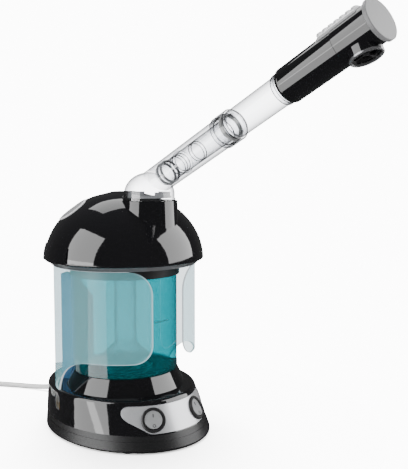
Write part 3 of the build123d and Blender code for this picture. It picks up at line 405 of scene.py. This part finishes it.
# ---- power cord: one line from the strain relief through the coil to the plug ----
CORD_RADIUS = 0.0025
COIL_CENTRE = (-0.0813, 0.2153)
COIL_OUTER_LANE, LANE_PITCH, COIL_START, COIL_TURNS = 0.0365, 0.005, 20.0, 7 + 160 / 360
POINTS_PER_TURN, POINTS_PER_SPAN, CORD_SIDES = 24, 6, 6
LANES = [0, 1, 2, 3, 3, 2, 1, 0]
# The degrees within a turn where the cord starts to change lane or to climb, and how many degrees that takes.
RISE_TURN, RISE_FROM, IN_FROM, OUT_FROM, SHIFT = 3, 240.0, 300.0, 180.0, 60.0


def eased(value):
    """Smooth step from 0 to 1."""
    value = min(1.0, max(0.0, value))
    return value * value * (3 - 2 * value)


def coil_point(turned):
    """The coil's centreline after so many degrees: four lanes in on the floor, then four out on top."""
    turn, angle = int(turned // 360), turned % 360
    lane = LANES[turn]
    if turn < RISE_TURN:
        lane += eased((angle - IN_FROM) / SHIFT)
    elif RISE_TURN < turn < len(LANES) - 1:
        lane -= eased((angle - OUT_FROM) / SHIFT)
    level = 0.0
    if turn == RISE_TURN:
        level = eased((angle - RISE_FROM) / SHIFT)
    elif turn > RISE_TURN:
        level = 1.0
    radius = COIL_OUTER_LANE - LANE_PITCH * lane
    around = math.radians(COIL_START + turned)
    return (
        COIL_CENTRE[0] + radius * math.cos(around),
        COIL_CENTRE[1] + radius * math.sin(around),
        CORD_RADIUS + LANE_PITCH * level,
    )


cord_exit = (0.0, 0.119, 0.0095)
cord_points = [
    cord_exit,
    (0.0006, 0.134, 0.0084),
    (-0.0035, 0.151, 0.004),
    (-0.0115, 0.167, 0.0026),
    (-0.021, 0.183, 0.0025),
    (-0.032, 0.1995, 0.0025),
    (-0.0416, 0.2135, 0.0025),
]
coil_steps = round(COIL_TURNS * POINTS_PER_TURN)
cord_points += [coil_point(360 * COIL_TURNS * step / coil_steps) for step in range(coil_steps + 1)]
cord_points += [(-0.1186, 0.2013, 0.0067), (-0.1179, 0.1873, 0.0068), (-0.117, 0.1733, 0.0076)]
cord_curve = bpy.data.curves.new("mains_lead", "CURVE")
cord_curve.dimensions = "3D"
cord_curve.bevel_depth = CORD_RADIUS
cord_curve.bevel_resolution = CORD_SIDES
cord_curve.resolution_u = POINTS_PER_SPAN
cord_curve.use_fill_caps = True
spline = cord_curve.splines.new("NURBS")
spline.points.add(len(cord_points) - 1)
for point, place in zip(spline.points, cord_points):
    point.co = (*place, 1)
spline.order_u = 3
spline.use_endpoint_u = True
mains_lead = bpy.data.objects.new("mains_lead", cord_curve)
scene.collection.objects.link(mains_lead)
cord_curve.materials.append(looks["cord_white"])
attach(mains_lead, "base")
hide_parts("power_cord", "cord_coil", "cord_tail")

# ---- world: white to the camera, dim in reflections, and dimmer through plastic, most of all low down ----
AMBIENT, REFLECTED, BACKDROP = 1.15, 0.06, 12.0
LOW_THROUGH_PLASTIC, HIGH_THROUGH_PLASTIC = 3.4, 8.0
LOW_RAY, HIGH_RAY = -0.11, -0.06
world = bpy.data.worlds.new("studio")
scene.world = world
world.use_nodes = True
sky = world.node_tree
sky.nodes.clear()


def background(strength):
    """A white background of a strength, which is a constant or a socket."""
    node = sky.nodes.new("ShaderNodeBackground")
    feed(sky, (node.inputs["Color"], node.inputs["Strength"]), (WHITE, strength))
    return node.outputs[0]


path = sky.nodes.new("ShaderNodeLightPath")
direction = sky.nodes.new("ShaderNodeTexCoord")
heights = sky.nodes.new("ShaderNodeSeparateXYZ")
sky.links.new(direction.outputs["Generated"], heights.inputs[0])
through_plastic = sky.nodes.new("ShaderNodeMapRange")
span_names = ("Value", "From Min", "From Max", "To Min", "To Max")
feed(
    sky,
    [through_plastic.inputs[name] for name in span_names],
    (heights.outputs["Z"], LOW_RAY, HIGH_RAY, LOW_THROUGH_PLASTIC, HIGH_THROUGH_PLASTIC),
)
crossed = worked_out(sky, "GREATER_THAN", path.outputs["Transparent Depth"], 0.5)
seen_strength = sky.nodes.new("ShaderNodeMix")
feed(
    sky,
    [seen_strength.inputs[name] for name in ("Factor", "A", "B")],
    (crossed, BACKDROP, through_plastic.outputs["Result"]),
)
unseen = mixed(sky, path.outputs["Is Glossy Ray"], background(AMBIENT), background(REFLECTED))
shown = mixed(sky, path.outputs["Is Camera Ray"], unseen, background(seen_strength.outputs["Result"]))
sky.links.new(shown, sky.nodes.new("ShaderNodeOutputWorld").inputs["Surface"])

# ---- lights ----
LIGHTS_FACE = Vector((0, 0, 0.15))


def softbox(name, azimuth, elevation, distance, wide, high, radiance, reflected=True):
    """A rectangular light placed by its bearing from the front and its height angle: it lights or is reflected."""
    light = bpy.data.lights.new(name, "AREA")
    light.shape = "RECTANGLE"
    light.size = wide
    light.size_y = high
    light.energy = radiance * math.pi * wide * high
    obj = bpy.data.objects.new(name, light)
    scene.collection.objects.link(obj)
    turn, up = math.radians(azimuth), math.radians(elevation)
    back = Vector((math.sin(turn) * math.cos(up), -math.cos(turn) * math.cos(up), math.sin(up)))
    obj.location = LIGHTS_FACE + back * distance
    obj.rotation_euler = back.to_track_quat("Z", "Y").to_euler()
    obj.visible_glossy = reflected
    obj.visible_diffuse = not reflected
    obj.visible_transmission = False


softbox("left_box", -101, 24, 1.1, 0.92, 1.0, 5)
softbox("low_left_box", -101, -17, 1.09, 0.92, 0.8, 4.5)
softbox("right_box", 50, 22, 1.1, 1.05, 0.86, 5)
softbox("rear_box", 158, 62, 1.1, 0.62, 0.5, 2.6)
softbox("key_light", -10, 60, 1.4, 0.9, 0.9, 1.5, reflected=False)
softbox("top_light", 150, 68, 1.4, 0.8, 0.8, 16.0, reflected=False)

# ---- floor: a small disc that only catches the shadow ----
FLOOR_RADIUS, FLOOR_SIDES, FLOOR_DROP, FLOOR_SPECULAR = 0.26, 96, 0.0004, 0.1
bpy.ops.mesh.primitive_circle_add(
    vertices=FLOOR_SIDES, radius=FLOOR_RADIUS, fill_type="NGON", location=(0, 0, -FLOOR_DROP)
)
floor = bpy.context.object
floor.name = "floor"
floor_look, floor_tree, floor_out = new_material("floor")
floor_base = principled(floor_tree, (0.96, 0.96, 0.96), 0.6)
floor_base.inputs["Specular IOR Level"].default_value = FLOOR_SPECULAR
floor_tree.links.new(floor_base.outputs[0], floor_out.inputs["Surface"])
floor.data.materials.append(floor_look)
floor.is_shadow_catcher = True
floor.visible_glossy = False
